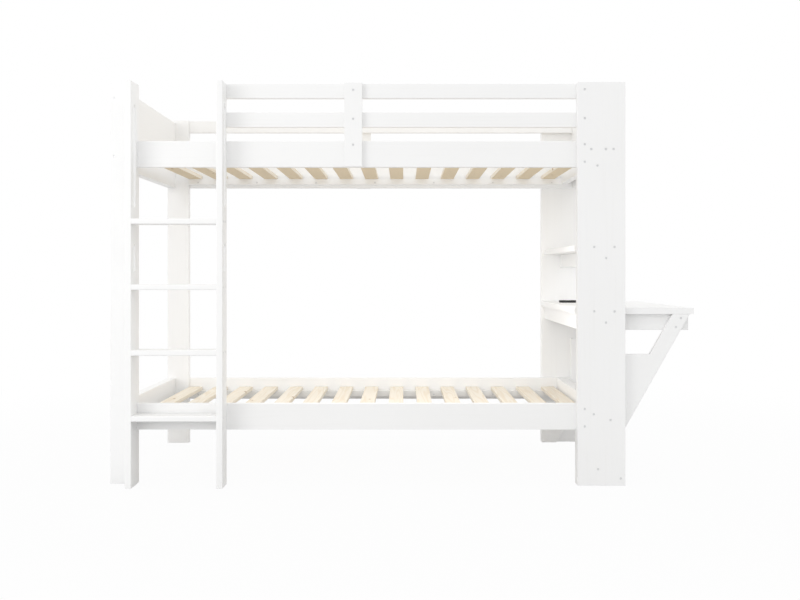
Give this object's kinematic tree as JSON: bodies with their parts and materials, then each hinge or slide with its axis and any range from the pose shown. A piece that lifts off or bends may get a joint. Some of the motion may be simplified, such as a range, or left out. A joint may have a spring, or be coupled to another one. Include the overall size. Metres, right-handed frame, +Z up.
{
  "type": "bunk bed",
  "caption": "White-painted timber bunk bed with parallel slatted bunks, front ladder, guard rails, and a full-width desk and shelf at one end.",
  "frame": {"origin": "on the floor, under the middle of the bounding box", "axes": "+X from the ladder end to the desk, +Y from the front to the back, +Z up"},
  "size_m": [2.356, 1.186, 1.616],
  "materials": {
    "white_paint": "satin white paint on timber boards",
    "pine": "bare planed pine",
    "dowel_wood": "beech dowel",
    "screw_steel": "zinc-plated",
    "black_plastic": "fine-grained moulded plastic"
  },
  "bodies": {
    "bed": {"front_left_post": "white_paint", "rear_left_post": "white_paint", "front_right_post": "white_paint", "rear_right_post": "white_paint", "front_upper_rail": "white_paint", "rear_upper_rail": "white_paint", "front_lower_rail": "white_paint", "rear_lower_rail": "white_paint", "headboard": "white_paint", "lower_left_end_board": "white_paint", "upper_right_end_board": "white_paint", "upper_right_end_rail": "white_paint", "lower_right_end_rail": "white_paint", "lower_end_facing": "white_paint", "top_guard_rail": "white_paint", "middle_guard_rail": "white_paint", "rear_guard_rail": "white_paint", "front_upright": "white_paint", "rear_upright": "white_paint", "front_upper_ledger": "white_paint", "rear_upper_ledger": "white_paint", "front_lower_ledger": "white_paint", "rear_lower_ledger": "white_paint", "upper_slats": "pine", "lower_slats": "pine", "left_stile": "white_paint", "right_stile": "white_paint", "rung_1": "white_paint", "rung_2": "white_paint", "rung_3": "white_paint", "rung_4": "white_paint", "desk_top": "white_paint", "front_apron": "white_paint", "rear_apron": "white_paint", "inner_apron": "white_paint", "outer_apron": "white_paint", "desk_cross_rail": "white_paint", "front_brace": "white_paint", "rear_brace": "white_paint", "front_foot_block": "white_paint", "rear_foot_block": "white_paint", "front_gusset": "white_paint", "rear_gusset": "white_paint", "shelf": "white_paint", "shelf_cross_rail": "white_paint", "grommet_sleeve": "black_plastic", "right_post_screws": "screw_steel", "left_post_screws": "screw_steel", "upright_screws": "screw_steel", "ladder_screws": "screw_steel", "stile_screws": "screw_steel", "brace_screws": "screw_steel", "ledger_screws": "screw_steel", "slat_screws": "screw_steel", "rail_dowels": "dowel_wood", "end_dowels": "dowel_wood", "desk_dowels": "dowel_wood"},
    "cap": {"grommet_cap": "black_plastic"}
  },
  "joints": [
    {"name": "grommet_cap_turn", "type": "hinge", "parent": "bed", "child": "cap", "pos_m": [0.799, 0.3, 0.7134], "axis": [0, 0, 1], "continuous": true}
  ]
}
